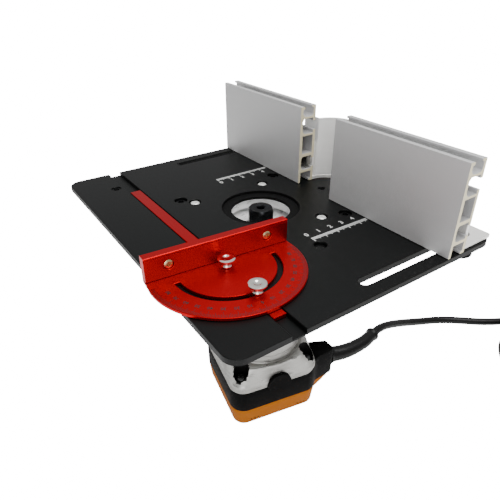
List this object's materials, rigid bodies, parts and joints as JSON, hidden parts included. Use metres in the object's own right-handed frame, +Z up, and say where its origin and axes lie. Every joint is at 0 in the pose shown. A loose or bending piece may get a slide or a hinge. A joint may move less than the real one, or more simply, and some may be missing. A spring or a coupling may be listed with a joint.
{
  "type": "router table",
  "caption": "Aluminium router table on a trim router, with a split fence on a sliding bracket, a dust hood and a mitre gauge.",
  "frame": {"origin": "On the surface that the router's end cap stands on, under the middle of the table's and gauge's outline", "axes": "+X to the right along the fence for someone standing at the gauge, +Y away from them towards the fence, +Z up along the router's axis"},
  "size_m": [0.3151, 0.4005, 0.2373],
  "materials": {
    "black_anodised": "satin black anodising",
    "silver_anodised": "satin clear anodising",
    "bright_aluminium": "bright sheet",
    "cast_aluminium": "machined casting",
    "red_anodised": "red anodising",
    "chrome": "plated",
    "steel": "zinc plated",
    "black_steel": "black oxide",
    "copper": "enamelled copper",
    "black_plastic": "moulded",
    "orange_plastic": "moulded",
    "rubber": "moulded"
  },
  "bodies": {
    "motor": {"motor_housing": "cast_aluminium", "mid_case": "black_plastic", "end_cap": "orange_plastic", "case_screw_1": "steel", "case_screw_2": "steel", "case_screw_3": "steel", "case_screw_4": "steel", "stator_core": "steel", "stator_coil_upper": "copper", "stator_coil_lower": "copper", "front_bearing": "steel", "rear_bearing": "steel", "brush_left": "black_steel", "brush_right": "black_steel", "strain_relief": "rubber", "cord": "rubber", "cord_coil": "rubber", "plug": "rubber"},
    "armature": {"armature_shaft": "steel", "armature_core": "steel", "commutator": "copper", "cooling_fan": "black_plastic", "collet": "steel", "collet_nut": "black_steel"},
    "switch": {"switch_slide": "black_plastic"},
    "table": {"table_plate": "black_anodised", "router_clamp": "cast_aluminium", "base_screw_1": "steel", "base_screw_2": "steel", "base_screw_3": "steel", "base_screw_4": "steel", "black_screw_1": "black_steel", "black_screw_2": "black_steel", "black_screw_3": "black_steel", "black_screw_4": "black_steel"},
    "clamp_hand": {"clamp_screw": "black_plastic"},
    "fence_carriage": {"fence_bracket": "bright_aluminium", "dust_hood": "bright_aluminium", "tee_bolt_left_inner": "steel", "tee_bolt_right_inner": "steel", "tee_bolt_left_outer": "steel", "tee_bolt_right_outer": "steel", "tee_nut_left_inner": "steel", "tee_nut_right_inner": "steel", "tee_nut_left_outer": "steel", "tee_nut_right_outer": "steel", "slot_bolt_left": "steel", "slot_bolt_right": "steel"},
    "fence_lock_left": {"slot_knob_left": "black_plastic"},
    "fence_lock_right": {"slot_knob_right": "black_plastic"},
    "left_face": {"fence_left": "silver_anodised"},
    "right_face": {"fence_right": "silver_anodised"},
    "gauge_slider": {"mitre_bar": "red_anodised"},
    "gauge_head": {"protractor": "red_anodised", "gauge_fence": "red_anodised", "gauge_screw_1": "steel", "gauge_screw_2": "steel"},
    "pivot_hand": {"pivot_knob": "chrome"},
    "lock_hand": {"lock_knob": "chrome"}
  },
  "joints": [
    {"name": "armature_spin", "type": "hinge", "parent": "motor", "child": "armature", "pos_m": [0.0005, 0.008, 0.158], "axis": [0, 0, 1], "continuous": true},
    {"name": "switch_travel", "type": "slide", "parent": "motor", "child": "switch", "axis": [0.1994, 0.9799, 0], "range_m": [0, 0.004]},
    {"name": "depth_slide", "type": "slide", "parent": "motor", "child": "table", "axis": [0, 0, 1], "range_m": [0, 0.02]},
    {"name": "clamp_screw_turn", "type": "hinge", "parent": "table", "child": "clamp_hand", "pos_m": [-0.0485, 0.008, 0.15], "axis": [0, 1, 0], "continuous": true},
    {"name": "fence_slide", "type": "slide", "parent": "table", "child": "fence_carriage", "axis": [0, 1, 0], "range_m": [-0.049, 0.003]},
    {"name": "fence_lock_left_turn", "type": "hinge", "parent": "fence_carriage", "child": "fence_lock_left", "pos_m": [-0.1086, 0.0849, 0.171], "axis": [0, 0, 1], "continuous": true},
    {"name": "fence_lock_right_turn", "type": "hinge", "parent": "fence_carriage", "child": "fence_lock_right", "pos_m": [0.1086, 0.0849, 0.171], "axis": [0, 0, 1], "continuous": true},
    {"name": "left_face_slide", "type": "slide", "parent": "fence_carriage", "child": "left_face", "axis": [1, 0, 0], "range_m": [-0.005, 0.015]},
    {"name": "right_face_slide", "type": "slide", "parent": "fence_carriage", "child": "right_face", "axis": [-1, 0, 0], "range_m": [-0.005, 0.015]},
    {"name": "gauge_slide", "type": "slide", "parent": "table", "child": "gauge_slider", "axis": [1, 0, 0], "range_m": [-0.12, 0.05]},
    {"name": "gauge_turn", "type": "hinge", "parent": "gauge_slider", "child": "gauge_head", "pos_m": [0.0565, -0.0551, 0.179], "axis": [0, 0, 1], "range_deg": [-75.8, 84.2]},
    {"name": "pivot_knob_turn", "type": "hinge", "parent": "gauge_slider", "child": "pivot_hand", "pos_m": [0.0565, -0.0551, 0.183], "axis": [0, 0, 1], "continuous": true},
    {"name": "lock_knob_turn", "type": "hinge", "parent": "gauge_slider", "child": "lock_hand", "pos_m": [0.0866, -0.0551, 0.183], "axis": [0, 0, 1], "continuous": true}
  ]
}
